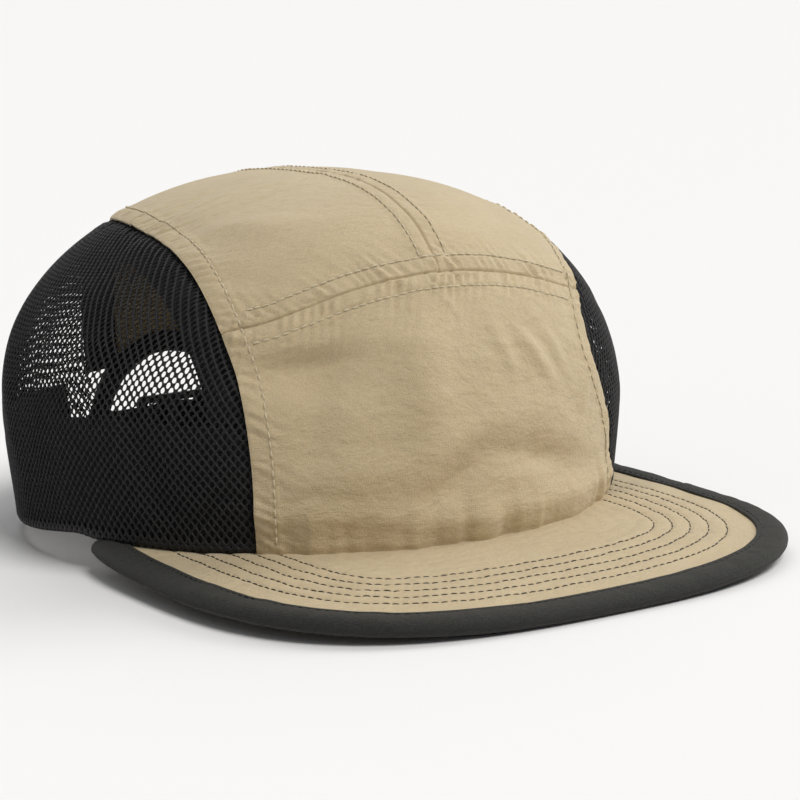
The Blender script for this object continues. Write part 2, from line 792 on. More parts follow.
# %% Khaki finish
def khaki_finish():
    material, shader = new_finish("khaki_nylon", {
        "Roughness": 0.62, "Specular IOR Level": 0.35,
        "Sheen Weight": 0.25, "Sheen Roughness": 0.45, "Sheen Tint": (1.0, 0.94, 0.82, 1.0),
        "Subsurface Weight": 0.5, "Subsurface Radius": (1.0, 0.85, 0.6), "Subsurface Scale": 0.0005,
    })
    yarns = combine(material, "ADD", streaks(material, (0.8, 3.4)), streaks(material, (3.4, 0.9)))
    patches = streaks(material, (0.05, 0.08), detail=2.0)
    tone = combine(material, "ADD", combine(material, "MULTIPLY", yarns, 0.4),
                   combine(material, "MULTIPLY", patches, 0.2))
    paint(material, shader, "Base Color",
          colours(material, tone, (0.49, 0.39, 0.24), (0.6, 0.49, 0.312), (0.36, 0.64)))
    crinkle = combine(material, "MULTIPLY", streaks(material, (0.2, 0.3), detail=4.0), 5.0)
    bump(material, shader, combine(material, "ADD", yarns, crinkle), 0.2, 0.9)
    return material


khaki = khaki_finish()
finish_piece(front_panel, khaki, "khaki_cloth", "front_panel")
for word, panel in top_panels.items():
    finish_piece(panel, khaki, "khaki_cloth", f"top_panel_{word}")

# %% [markdown]
# ## Black sports mesh
# The sides are a knitted mesh with oval holes, and light comes through it. A picture of holes
# would look flat from near by, so every hole is cut in real geometry: a lattice of six-sided
# cells, each with a ring that is highest between the holes and thin at their edge.
# The lattice lies on a chart of the side, in millimetres round from its middle and up from the
# rim, because a knitted cloth keeps its pitch where the crown grows narrower.

# %% Chart of a side
# turns in degrees; the step and the reach to both sides of the middle turn in millimetres
CHART = {"middle_turn": 100.0, "turns": (30.0, 172.0, 361), "shares": (1, 0.16, 421),
         "step": 0.5, "reach": 110}
# a place is kept so far inside the end of the table, in squares
INSIDE_END = 1.001


class SideChart:
    """Finds the disc point of a place given in millimetres along and up the side."""

    def __init__(self, side):
        self.side = side
        turns = np.radians(np.linspace(*CHART["turns"]))
        shares = np.linspace(*CHART["shares"])
        grid = crown(disc_point(turns[:, None], shares[None]))
        climb = np.stack([run_along(column) for column in grid])
        self.ups = np.arange(0, climb[:, -1].min(), CHART["step"])
        self.alongs = np.arange(-CHART["reach"], CHART["reach"], CHART["step"])
        self.table = np.zeros((len(self.alongs), len(self.ups), 2))
        for column, up in enumerate(self.ups):
            share = np.array([np.interp(up, climb[k], shares) for k in range(len(turns))])
            run = run_along(crown(disc_point(turns, share)))
            run -= np.interp(np.radians(CHART["middle_turn"]), turns, run)
            self.table[:, column, 0] = np.interp(self.alongs, run, turns)
            self.table[:, column, 1] = np.interp(self.alongs, run, share)

    def disc(self, along, up):
        """Reads the table between its places."""
        x = np.clip((along - self.alongs[0]) / CHART["step"], 0, len(self.alongs) - INSIDE_END)
        y = np.clip(up / CHART["step"], 0, len(self.ups) - INSIDE_END)
        i, j = x.astype(int), y.astype(int)
        u, v = (x - i)[..., None], (y - j)[..., None]
        cells = self.table
        wall = ((1 - u) * (1 - v) * cells[i, j] + u * (1 - v) * cells[i + 1, j]
                + (1 - u) * v * cells[i, j + 1] + u * v * cells[i + 1, j + 1])
        return from_wall(wall) * (self.side, 1)


charts = {word: SideChart(side) for word, side in SIDES.items()}
print("chart of a side, places along and up:", charts["left"].table.shape[:2])

# %% One cell of the mesh
# millimetres along and up from the middle of the cell
CELL_CORNERS = [(1.3, 0.2), (0, 1.32), (-1.3, 0.2), (-1.3, -0.2), (0, -1.32), (1.3, -0.2)]
HOLE = {"sides": 8, "half_width": 0.62, "half_height": 0.9}
THREAD_HALF = 0.32


def turn_order(ring):
    return np.arctan2(ring[:, 1], ring[:, 0]) % (2 * np.pi)


def zip_rings(outer, inner, outer_start, inner_start):
    """Triangles between two rings of points, taken in order of their angle."""
    outer_turns = np.append(turn_order(outer), np.inf)
    inner_turns = np.append(turn_order(inner), np.inf)
    faces, i, j = [], 0, 0
    while i < len(outer) or j < len(inner):
        a, b = outer_start + i % len(outer), inner_start + j % len(inner)
        if i < len(outer) and (j == len(inner) or outer_turns[i + 1] <= inner_turns[j + 1]):
            i += 1
            faces.append((a, outer_start + i % len(outer), b))
        else:
            j += 1
            faces.append((a, inner_start + j % len(inner), b))
    return faces


def mesh_cell():
    """Flat places, heights and triangles of one cell."""
    corners = np.array(CELL_CORNERS)
    angle = np.arange(HOLE["sides"]) * 2 * np.pi / HOLE["sides"]
    hole = np.stack([np.cos(angle), np.sin(angle)], axis=-1)
    hole *= (HOLE["half_width"], HOLE["half_height"])
    sides = len(corners)
    places = np.concatenate([corners, corners, hole])
    heights = np.repeat([THREAD_HALF, -THREAD_HALF, 0], [sides, sides, len(hole)])
    front = zip_rings(corners, hole, 0, 2 * sides)
    back = [face[::-1] for face in zip_rings(corners, hole, sides, 2 * sides)]
    return places, heights, np.array(front + back)


cell_places, cell_heights, cell_faces = mesh_cell()
print("triangles in a mesh cell:", len(cell_faces))

# %% Folds of the mesh
MESH_DEPTH = 0.55
MESH_FOLDS = [
    (62, 40, 30, 5, 70, -0.9),
    (75, 62, 26, 6, 115, 0.8),
    (92, 30, 30, 7, 80, -0.8),
    (110, 55, 34, 8, 60, 0.9),
    (84, 84, 22, 6, 10, -0.7),
    (128, 40, 30, 8, 100, -0.8),
    (145, 62, 26, 7, 75, 0.8),
]
# the softer side sags outwards low down
MESH_SAG = {"left": [(64, 35, 26, 20, 0, 3.0)], "right": []}
MESH_PUCKER = {"height": 0.35, "spacing": 3.1, "seed": 70, "fade": 5}
# the khaki's folds run on into the mesh over this distance
SHARED_FOLD = 10
# at the seam the mesh dives under the khaki, and deeper past it
DIVE = {"depth": 0.85, "half_width": 2.4, "slope": 0.3, "reach": 4}
MESH_ARCH_SMOOTH = (0, 8)


def mesh_depth(points, past_seam, word):
    """How deep the mesh lies below the crown's own surface."""
    side = SIDES[word]
    rows = [(side * turn, height, long, wide, side * slant, lift)
            for turn, height, long, wide, slant, lift in MESH_FOLDS + MESH_SAG[word]]
    lift = fold_lift(points, place_folds(rows)) + fold_lift(points, small_creases, CREASE_REACH)
    distance, run = seams[f"side_{word}"].near(points)
    puckers = MESH_PUCKER["height"] * ripple(run, MESH_PUCKER["spacing"], MESH_PUCKER["seed"])
    lift += puckers * np.exp(-distance / MESH_PUCKER["fade"])
    lift += fold_lift(points, main_folds) * hump(distance, SHARED_FOLD)
    under = DIVE["depth"] + DIVE["slope"] * np.minimum(distance, DIVE["reach"])
    tucked = np.where(past_seam, under, DIVE["depth"] * hump(distance, DIVE["half_width"]))
    distance, _ = seams["arch"].near(points)
    return MESH_DEPTH + tucked - lift * smooth_step(*MESH_ARCH_SMOOTH, distance)


# %% Inside or outside
def inside(polygon, points):
    """Whether flat points lie inside a closed outline."""
    after = np.roll(polygon, -1, axis=0)
    hits = np.zeros(len(points), dtype=int)
    for (ax, ay), (bx, by) in zip(polygon, after):
        if ay == by:
            continue
        crosses = (points[:, 1] > min(ay, by)) & (points[:, 1] <= max(ay, by))
        hits += crosses & (points[:, 0] < ax + (points[:, 1] - ay) * (bx - ax) / (by - ay))
    return hits % 2 == 1


# points of the seam, the arch and the rim in the outline of a side
OUTLINE_POINTS = (300, 30, 200)
JUST_PAST_RIM = 1.001


def side_outline(word):
    """Closed outline of a mesh side on the disc."""
    side = SIDES[word]
    on_seam, on_arch, on_rim = OUTLINE_POINTS
    seam = Path(seam_discs[word], side=side)(np.linspace(0, 1, on_seam))
    arch_foot = 180 - ARCH["half_turn"]
    arch = arch_path(SEAM_END, arch_foot, side)(np.linspace(0, 1, on_arch))
    turns = side * np.radians(np.linspace(arch_foot, SEAM_FOOT, on_rim))
    return np.concatenate([seam, arch, disc_point(turns, np.full(on_rim, JUST_PAST_RIM))])


# %% Cells of a side
# millimetres from cell to cell in a row and from row to row, and the lattice to choose from
LATTICE = {"pitch": 2.6, "row": 1.52, "first_row": 0.3, "rows": (-1, 82), "columns": (-42, 42)}
# cells reach so far past the seam, and so far round from the side's middle
MESH_TUCK = 1.7
MESH_REACH = 105
# below this height the mesh is turned in as a hem, where its holes are nearly shut
MESH_HEM = 1.6
HEM_HOLE = 0.3
# chance in the size of a hole and in the place of a knot
UNEVEN_HOLE = 0.05
UNEVEN_KNOT = 0.035
# corners that agree within a part of a millimetre are one
PARTS_OF_MM = 200


def cell_centres(word):
    """Centres of the cells that cover a side, in millimetres along and up."""
    rows, columns = np.meshgrid(np.arange(*LATTICE["rows"]), np.arange(*LATTICE["columns"]),
                                indexing="ij")
    along = columns * LATTICE["pitch"] + (rows % 2) * LATTICE["pitch"] / 2
    up = rows * LATTICE["row"] + LATTICE["first_row"]
    centres = np.stack([along.ravel(), up.ravel()], axis=-1)
    discs = charts[word].disc(centres[:, 0], centres[:, 1])
    points = crown(discs)
    keep = inside(side_outline(word), discs)
    keep |= seams[f"side_{word}"].near(points)[0] < MESH_TUCK
    keep &= np.abs(centres[:, 0]) < MESH_REACH
    keep &= points[:, 0] * SIDES[word] > 0
    return centres[keep]


def knit(centres, chance):
    """Flat places, heights and triangles of the whole lattice: cells that touch share corners."""
    count, size = len(centres), len(cell_places)
    places = centres[:, None] + cell_places
    holes = slice(2 * len(CELL_CORNERS), size)
    hole_size = chance.normal(1, UNEVEN_HOLE, (count, 1, 2))
    hole_size[centres[:, 1] < MESH_HEM + LATTICE["row"]] *= HEM_HOLE
    places[:, holes] = centres[:, None] + cell_places[holes] * hole_size
    heights = np.broadcast_to(cell_heights, (count, size))
    keys = np.stack([places[..., 0].ravel(), places[..., 1].ravel(), heights.ravel()], axis=-1)
    _, first, where = np.unique((keys * PARTS_OF_MM).round().astype(int), axis=0,
                                return_index=True, return_inverse=True)
    faces = (cell_faces[None] + size * np.arange(count)[:, None, None]).reshape(-1, 3)
    flat = keys[first, :2]
    flat = flat + chance.normal(0, UNEVEN_KNOT, flat.shape)
    return flat, keys[first, 2], where.reshape(-1)[faces]


# %% Mesh sides
MESH_SEED = {"left": 81, "right": 79}


def mesh_side(word):
    """The lattice bent on to the crown, with its lower edge rolled inwards as a hem."""
    centres = cell_centres(word)
    print(f"cells in the {word} side: {len(centres)}")
    flat, height, faces = knit(centres, np.random.default_rng(MESH_SEED[word]))
    below = np.maximum(MESH_HEM - flat[:, 1], 0)
    bend = np.minimum(below / MESH_HEM, np.pi / 2)
    inwards = MESH_HEM * (1 - np.cos(bend)) + np.maximum(below - MESH_HEM * np.pi / 2, 0)
    raised = MESH_HEM * (1 - np.sin(bend)) + THREAD_HALF
    disc = charts[word].disc(flat[:, 0], np.where(below > 0, raised, flat[:, 1] + THREAD_HALF))
    bare, out = crown(disc), crown_frame(disc)[2]
    face = out * np.cos(bend)[:, None] - UP * np.sin(bend)[:, None]
    past_seam = ~inside(side_outline(word), disc)
    depth = mesh_depth(bare, past_seam, word) + inwards
    points = settle(bare, disc) - out * depth[:, None] + face * height[:, None]
    return new_piece(f"side_mesh_{word}_knit", points, flat, triangles=faces)


mesh_sides = {word: mesh_side(word) for word in SIDES}

# %% [markdown]
# ### How the knit looks
# The yarn is matt and nearly black. Streaks along it stand for the yarns of each bar, in both
# the colour and the bump. Nothing more is needed, because the holes are real and give the light
# and dark of the knit by themselves.

# %% Mesh finish
def mesh_finish():
    material, shader = new_finish("black_knit_mesh", {
        "Roughness": 0.6, "Specular IOR Level": 0.3, "Sheen Weight": 0.06, "Sheen Roughness": 0.35,
    })
    yarns = streaks(material, (3.5, 1.1), 2.0)
    paint(material, shader, "Base Color",
          colours(material, yarns, (0.008, 0.008, 0.009), (0.019, 0.019, 0.02)))
    bump(material, shader, yarns, 0.08, 0.6)
    return material


black_mesh = mesh_finish()
for word, panel in mesh_sides.items():
    finish_piece(panel, black_mesh, "black_mesh", f"side_mesh_{word}")

# %% [markdown]
# ## Tapes inside
# A black tape covers each side seam on the inside, and shows through the mesh as a dark strip.
# A soft sweatband goes round the head. Both are plain strips that follow the crown a little
# deeper than the cloth, so they are grids again: steps along the seam or the rim one way, and a
# short list of places across the strip the other way.

# %% Places beside a line
ROUNDS = 4


def disc_beside(disc, direction, reach):
    """Disc points that lie so many millimetres from others, in a direction along the cloth.

    Each round looks how far the last guess missed the goal and corrects it by that."""
    goal = crown(disc) + direction * reach
    found = disc.copy()
    step = 0.002
    for _ in range(ROUNDS):
        here = crown(found)
        miss = goal - here
        dx = (crown(found + (step, 0)) - here) / step
        dy = (crown(found + (0, step)) - here) / step
        xx, xy, yy = ((a * b).sum(-1) for a, b in ((dx, dx), (dx, dy), (dy, dy)))
        miss_x, miss_y = (miss * dx).sum(-1), (miss * dy).sum(-1)
        moved = np.stack([miss_x * yy - miss_y * xy, miss_y * xx - miss_x * xy], axis=-1)
        found = found + moved / (xx * yy - xy * xy)[..., None]
    return found


def along_seam(seam, runs):
    """Disc points at given lengths along a seam, with the seam's direction and the way out."""
    disc = read_columns(runs, seam.run, seam.disc)
    ahead = read_columns(runs, seam.run, np.gradient(seam.points, axis=0))
    return disc, unit(ahead), crown_frame(disc)[2]


# %% Seam tapes
SEAM_TAPE = {"from": -3.8, "to": 11.0, "places": 13, "step": 1.2,
             "thickness": 0.7, "depth": 1.9, "lowest": 47.0, "short_of_end": 11.0}
# its chance waves, and how much its edges lie deeper than the middle
TAPE_WAVE = {"height": 0.12, "spacing": 4.0, "seed": 90}
TAPE_BOW = {"height": 0.25, "crest": 0.4}


def seam_tape(word):
    seam = seams[f"side_{word}"]
    start = np.interp(SEAM_TAPE["lowest"], seam.points[:FINE // 4, 2], seam.run[:FINE // 4])
    runs = np.arange(start, seam.run[-1] - SEAM_TAPE["short_of_end"], SEAM_TAPE["step"])
    disc, run_way, out = along_seam(seam, runs)
    beside = np.cross(run_way, out) * SIDES[word]
    reaches = np.linspace(SEAM_TAPE["from"], SEAM_TAPE["to"], SEAM_TAPE["places"])
    discs = np.stack([disc_beside(disc, beside, reach) for reach in reaches], axis=1)
    bare, normal = crown(discs), crown_frame(discs)[2]
    wave = TAPE_WAVE["height"] * ripple(runs, TAPE_WAVE["spacing"], TAPE_WAVE["seed"])[:, None]
    bow = TAPE_BOW["height"] * np.abs(reaches / SEAM_TAPE["to"] - TAPE_BOW["crest"])[None]
    depth = SEAM_TAPE["depth"] - (wave - bow) - fold_lift(bare, main_folds)
    faces = [bare - normal * deep[..., None] for deep in (depth, depth + SEAM_TAPE["thickness"])]
    return thick_sheet(f"seam_tape_{word}_strip", *faces, grid_map(runs - runs[0], reaches))


tapes = {word: seam_tape(word) for word in SIDES}

# %% [markdown]
# ### How tape and sweatband look
# Woven tape has fine slanted ribs and a little fluff. A wave texture makes the ribs, a noise the
# fluff, and both together the bump. The sweatband gets the same finish with wider ribs.

# %% Tape finish
def tape_finish(name, low, high, ribs_per_mm):
    material, shader = new_finish(name, {
        "Roughness": 0.8, "Specular IOR Level": 0.25, "Sheen Weight": 0.2, "Sheen Roughness": 0.5,
    })
    place = cloth_place(material)
    ribs = waves(material, place, ribs_per_mm, 1.2, "DIAGONAL")
    fluff = streaks(material, (1.5, 1.5), place=place)
    paint(material, shader, "Base Color", colours(material, fluff, low, high))
    bump(material, shader, combine(material, "ADD", ribs, fluff), 0.12, 0.6)
    return material


black_tape = tape_finish("black_tape", (0.006, 0.006, 0.007), (0.015, 0.015, 0.016), 0.55)
for word, tape in tapes.items():
    finish_piece(tape, black_tape, "black_tape", f"seam_tape_{word}")

# %% [markdown]
# ## Sweatband
# A sweatband is a wide soft band folded over foam, so both its edges are round. Its section is
# two rows of heights and depths, one for each face. They are read at closer steps and carried
# round the rim. It stops short of the arch, and sinks wherever the crown is pushed in.

# %% Sweatband
BAND = {"end_turn": 152.0, "stations": 241, "steps_a_row": 4}
# height above the rim and depth below the crown, from the outer hem over the top to the inner hem
BAND_OUTER = [(1.2, 2.4), (1.7, 1.95), (3.0, 1.9), (12.0, 1.9),
              (24.0, 1.9), (33.0, 1.9), (34.6, 2.0), (35.0, 2.4)]
BAND_INNER = [(1.0, 3.2), (1.6, 3.9), (3.0, 3.7), (12.0, 3.5),
              (24.0, 3.4), (32.0, 3.5), (33.6, 3.6), (34.7, 3.1)]
# it is sewn to the rim, so it waves only above this stretch
BAND_WAVE = {"height": 0.25, "spacing": 9.0, "seed": 95, "above": (4, 30)}
# a fold in the crown less deep than this doesn't reach it
BAND_FREE = 0.4


def band_layer(turns, rows):
    """Points and map of one face of the band at given turns."""
    rows = np.array(rows)
    stretches = [np.linspace(a, b, BAND["steps_a_row"], endpoint=False)
                 for a, b in zip(rows[:-1, 0], rows[1:, 0])]
    ups = np.concatenate([*stretches, rows[-1:, 0]])
    depths = np.interp(ups, rows[:, 0], rows[:, 1])
    turn = turns[:, None]
    disc = disc_point(turn, share_at_height(turn, rim_height(turn) + ups[None]))
    run = run_along(crown(disc_point(turns, np.ones(len(turns)))))
    wave = BAND_WAVE["height"] * ripple(run, BAND_WAVE["spacing"], BAND_WAVE["seed"])[:, None]
    wave = wave * smooth_step(*BAND_WAVE["above"], ups)[None]
    bare, out = crown(disc), crown_frame(disc)[2]
    pushed = np.maximum(-fold_lift(bare, main_folds) - BAND_FREE, 0)
    depth = depths[None] + np.abs(wave) + pushed
    return settle(bare, disc) - out * depth[..., None], grid_map(run, ups)


def sweatband():
    turns = np.radians(np.linspace(-BAND["end_turn"], BAND["end_turn"], BAND["stations"]))
    outer, uv = band_layer(turns, BAND_OUTER)
    inner, _ = band_layer(turns, BAND_INNER)
    return thick_sheet("sweatband_strip", outer, inner, uv)


band_finish = tape_finish("black_sweatband", (0.007, 0.007, 0.008), (0.017, 0.017, 0.018), 0.35)
finish_piece(sweatband(), band_finish, "black_tape", "sweatband")

# %% [markdown]
# ## The brim
# The brim is a soft flat sheet of the same nylon over a stiffener, held by five rows of dark
# stitches that copy its outer edge. It is a grid between the crown's rim and the edge.
# Each row of thread pulls a groove into the cloth, and the cloth between the rows stands up
# a little, so the height depends on how far a place is from the edge.

# %% Brim sizes
BRIM = {"half_width": 93.8, "reach": 90.5, "centre_y": -36.0, "roundness": 2.9, "thickness": 2.2}
# turns at the brim's two ends: of the edge about the brim's centre, and of the rim
BRIM_END = {"outer_turn": 114.5, "inner_turn": 73.0}
# the cloth starts so far inside the rim, and ends so far inside the bound edge
BRIM_TUCK = 4.0
BRIM_INSET = 2.5
# turn about the brim's centre, and height of the edge
BRIM_EDGE_HEIGHT = [(0, 2.3), (16, 2.6), (33, 3.6), (50, 4.8),
                    (66, 5.3), (82, 5.4), (98, 6.1), (116, 7.2)]
# how far below the rim its inner line lies, and where round the rim this changes
BRIM_DROP = {"front": 1.55, "side": 3.0, "changes_over": (38, 58)}
BRIM_RISE = 0.8
BRIM_LEAST_WIDTH = 28.0


def brim_outline(turn):
    """Places on the brim's edge, seen from above."""
    power = BRIM["roundness"]
    sine = np.abs(np.sin(turn)) / BRIM["half_width"]
    cosine = np.abs(np.cos(turn)) / BRIM["reach"]
    radius = (sine ** power + cosine ** power) ** (-1 / power)
    return np.stack([radius * np.sin(turn), BRIM["centre_y"] - radius * np.cos(turn)], axis=-1)


def brim_inwards(turn):
    """The way from the edge straight into the brim."""
    step = 0.002
    run = unit(brim_outline(turn + step) - brim_outline(turn - step))
    return np.stack([-run[..., 1], run[..., 0]], axis=-1)


def brim_turn(place):
    return np.arctan2(place[..., 0], BRIM["centre_y"] - place[..., 1])


def past_rim(place):
    """How far a place on the floor lies outside the crown's rim, and its turn there."""
    turn = np.arctan2(place[..., 0], RIM["centre_y"] - place[..., 1])
    return np.hypot(place[..., 0], RIM["centre_y"] - place[..., 1]) - rim_radius(turn), turn


# %% Height of the brim
def brim_height(place):
    """Height of the middle of the brim: a flat bow between the rim and the edge."""
    beyond, crown_turn = past_rim(place)
    turn, centre = brim_turn(place), (0, BRIM["centre_y"])
    edge = np.linalg.norm(brim_outline(turn) - centre, axis=-1)
    to_edge = edge - np.linalg.norm(place - centre, axis=-1)
    sideways = smooth_step(*np.radians(BRIM_DROP["changes_over"]), np.abs(crown_turn))
    drop_more = (BRIM_DROP["side"] - BRIM_DROP["front"]) * sideways
    inner = rim_height(crown_turn) - BRIM_DROP["front"] - drop_more
    outer = read_table(BRIM_EDGE_HEIGHT, np.degrees(np.abs(turn)))
    share = 1 - to_edge / np.maximum(beyond + to_edge, BRIM_LEAST_WIDTH)
    return inner + (outer - inner) * share + BRIM_RISE * 4 * share * (1 - share)


# %% The brim's edge as a measured line
EDGE = {"end_turn": 125, "points": 2400}
edge_turns = np.radians(np.linspace(-EDGE["end_turn"], EDGE["end_turn"], EDGE["points"]))
edge_places = brim_outline(edge_turns)


def on_floor(place):
    """The same places as points in space, at no height."""
    return np.concatenate([place, np.zeros_like(place[..., :1])], axis=-1)


brim_edge = MeasuredLine(on_floor(edge_places))
print(f"edge of the brim: {brim_edge.run[-1]:.0f} mm")

# %% Quilting of the brim
ROW_FIRST = 17.3
ROW_GAP = 5.25
ROWS = [ROW_FIRST + ROW_GAP * k for k in range(5)]
BRIM_SEEDS = {1: 100, -1: 120}
ROW_GROOVE = {"depth": 0.32, "half_width": 0.55}
ROW_PUCKER = {"height": 0.1, "spacing": 3.4, "half_width": 1.8}
PUFF = 0.16
# past the rows the cloth lies loose, in long waves; the change takes this many millimetres
LOOSE = {"height": 0.12, "spacing": 16.0, "change": 3}


def brim_relief(place, seed):
    """Grooves at the rows of stitches, and a slight puff between them."""
    distance, run = brim_edge.near(on_floor(place))
    relief = np.zeros(distance.shape)
    for index, row in enumerate(ROWS):
        off = distance - row
        relief -= ROW_GROOVE["depth"] * hump(off, ROW_GROOVE["half_width"])
        puckers = ROW_PUCKER["height"] * ripple(run + index, ROW_PUCKER["spacing"], seed + index)
        relief += puckers * hump(off, ROW_PUCKER["half_width"])
    quilted = smooth_step(ROWS[0] - LOOSE["change"], ROWS[0], distance)
    relief += PUFF * quilted * np.abs(np.sin(np.pi * (distance - ROWS[0]) / ROW_GAP))
    relief += LOOSE["height"] * ripple(run, LOOSE["spacing"], seed + 8) * (1 - quilted)
    return relief


# %% Brim cloth
BRIM_GRID = (250, 116)


def brim_grid(across, out):
    """Places on the floor between the crown's rim and the edge."""
    t = np.linspace(-1, 1, across)
    outer_turn = np.radians(BRIM_END["outer_turn"] * t)
    inner_turn = np.radians(BRIM_END["inner_turn"] * t)
    outer = brim_outline(outer_turn) + BRIM_INSET * brim_inwards(outer_turn)
    inset = rim_radius(inner_turn) - BRIM_TUCK
    inner = np.stack([inset * np.sin(inner_turn), RIM["centre_y"] - inset * np.cos(inner_turn)],
                     axis=-1)
    share = np.linspace(0, 1, out)[None, :, None]
    return inner[:, None] * (1 - share) + outer[:, None] * share


def brim_face(place, side):
    """One face of the brim: side 1 is the top and -1 the underside."""
    lift = side * (BRIM["thickness"] / 2 + brim_relief(place, BRIM_SEEDS[side]))
    return np.concatenate([place, (brim_height(place) + lift)[..., None]], axis=-1)


brim_places = brim_grid(*BRIM_GRID)
brim = thick_sheet("brim_cloth", brim_face(brim_places, 1), brim_face(brim_places, -1), brim_places)
finish_piece(brim, khaki, "khaki_cloth", "brim")

# %% [markdown]
# ## Bound edge
# A charcoal tape is folded over the brim's edge and sewn through both layers close to its own
# inner edges. Its section is drawn once, as a closed outline with a soft round nose, and swept
# along the edge. Small waves make it look like cloth that was eased round a curve by hand.

# %% A swept outline
def swept(name, rings, uv):
    """A solid through rings of points, each a closed outline, with flat ends."""
    steps, count = rings.shape[:2]
    index = np.arange(steps * count).reshape(steps, count)
    after = np.roll(index, -1, axis=1)
    quads = np.stack([index[:-1], index[1:], after[1:], after[:-1]], axis=-1).reshape(-1, 4)
    caps = [(row[0], row[k], row[k + 1])
            for row in (index[0], index[-1][::-1]) for k in range(1, count - 1)]
    return new_piece(name, rings.reshape(-1, 3), uv.reshape(-1, 2), quads, caps)


# %% Binding
# inwards from the edge, and up from the middle of the brim
BINDING_TOP = [
    (0, 0), (0.12, 0.75), (0.55, 1.45), (1.3, 2.05), (2.3, 2.42), (3.5, 2.52), (5.0, 2.4),
    (6.3, 2.22), (7.0, 2.0), (7.35, 1.82), (7.75, 1.98), (8.35, 2.0), (8.85, 1.8), (9.0, 1.3),
]
BINDING_STEP = 1.1
# the tape is loose between its nose and its stitches: where this begins and where it ends
BINDING_LOOSE = ((0.5, 3.0), (6.0, 7.3))
# height, spacing and seed of the waves there, and of the long ones of the whole tape
LOOSE_WAVE = (0.1, 2.6, 130)
WHOLE_WAVE = (0.06, 6.0, 131)
SIDEWAYS_SHARE = 0.3
NOSE_HEIGHT = 0.8


def wave_of(row, runs):
    height, spacing, seed = row
    return height * ripple(runs, spacing, seed)[:, None]


def binding():
    """The tape's section carried along the edge, from one end of the brim to the other."""
    inside_ends = np.abs(edge_turns) <= np.radians(BRIM_END["outer_turn"])
    length = brim_edge.run[inside_ends]
    steps = int((length[-1] - length[0]) / BINDING_STEP)
    runs = np.linspace(length[0], length[-1], steps)
    turn = np.interp(runs, length, edge_turns[inside_ends])[:, None]
    section = np.array(BINDING_TOP + [(x, -y) for x, y in BINDING_TOP[:0:-1]])
    inwards, up = section[:, 0][None], section[:, 1][None]
    begins, ends = BINDING_LOOSE
    loose = smooth_step(*begins, inwards) * (1 - smooth_step(*ends, inwards))
    wave = wave_of(LOOSE_WAVE, runs) * loose + wave_of(WHOLE_WAVE, runs)
    reach = np.maximum(inwards + SIDEWAYS_SHARE * wave, 0)
    place = brim_outline(turn) + brim_inwards(turn) * reach[..., None]
    height = brim_height(place) + up + np.sign(up) * wave * (np.abs(up) > NOSE_HEIGHT)
    rings = np.concatenate([place, height[..., None]], axis=-1)
    return swept("brim_binding_tape", rings, grid_map(runs, run_along(section)))


# %% [markdown]
# ### How the binding looks
# The binding is a charcoal ribbed tape, a little warmer than black. Streaks across it stand for
# its ribs and finer ones along it for the weave between them.

# %% Binding finish
def binding_finish():
    material, shader = new_finish("charcoal_binding", {
        "Roughness": 0.75, "Specular IOR Level": 0.25, "Sheen Weight": 0.08, "Sheen Roughness": 0.5,
        "Sheen Tint": (1.0, 0.98, 0.93, 1.0),
    })
    height = combine(material, "ADD", streaks(material, (3.2, 0.8)), streaks(material, (0.6, 3.0)))
    tone = combine(material, "MULTIPLY", height, 0.5)
    paint(material, shader, "Base Color",
          colours(material, tone, (0.014, 0.0142, 0.0125), (0.034, 0.0345, 0.0305), (0.36, 0.64)))
    bump(material, shader, height, 0.25, 1.0)
    return material


finish_piece(binding(), binding_finish(), "charcoal_binding", "brim_binding")

# %% [markdown]
# ## Hem of the arch
# At the nape the cloth is cut in an arch, and a strap crosses it through a plastic slider.
# A narrow black tape is folded over the arch's edge. Its section is a small loop of places
# beside the edge, so it is the same swept outline as the brim's binding.

# %% Hem of the arch
# up past the edge into the cloth, and out from the crown's surface
HEM_SECTION = [
    (7.0, 0.25), (6.6, 0.75), (3.5, 0.85), (0.8, 0.8), (-0.2, 0.3), (-0.4, -0.6),
    (-0.2, -1.5), (0.8, -2.0), (3.5, -2.0), (6.6, -1.9), (7.0, -1.4),
]
HEM = {"short_of_ends": 1.0, "stations": 130, "map_step": 1.6, "least_height": 0.15}
HEM_WAVE = (0.1, 3.0, 140)


def arch_hem():
    seam = seams["arch"]
    runs = np.linspace(HEM["short_of_ends"], seam.run[-1] - HEM["short_of_ends"], HEM["stations"])
    disc, run_way, out = along_seam(seam, runs)
    beside = np.cross(out, run_way)
    beside *= np.sign(beside[len(beside) // 2, 2])
    wave = wave_of(HEM_WAVE, runs)
    rings = []
    for into, proud in HEM_SECTION:
        place = disc_beside(disc, beside, into)
        rings.append(crown(place) + crown_frame(place)[2] * (proud + np.sign(proud) * wave))
    rings = np.stack(rings, axis=1)
    rings[..., 2] = np.maximum(rings[..., 2], HEM["least_height"])
    uv = grid_map(runs, np.arange(len(HEM_SECTION)) * HEM["map_step"])
    return swept("arch_hem_tape", rings, uv)


finish_piece(arch_hem(), black_tape, "black_tape")

# %% [markdown]
# ## Strap
# The strap is woven webbing. It lies just inside the crown, and in the middle of the arch it
# climbs over the slider's bar and back. Two selvedges, thinner than the rest, run along it.
# So it is a sheet again: places along the arch one way, a table of thickness the other way.

# %% How the strap passes the slider
STRAP = {"half_turn": 26.5, "bottom": 3.5, "width": 19.0, "thickness": 1.5, "depth": 1.6}
SLIDER = {"half_width": 13.0, "half_height": 12.5, "thickness": 2.0,
          "side_bar": 3.5, "rail": 2.6, "middle_bar": 2.2}
# the slider's back stands so far off the strap at this turn, and the strap so far off its bar
SLIDER_SEAT = {"turn": 174.0, "gap": 0.35}
BAR_GAP = 0.3
strap_middle = STRAP["bottom"] + STRAP["width"] / 2


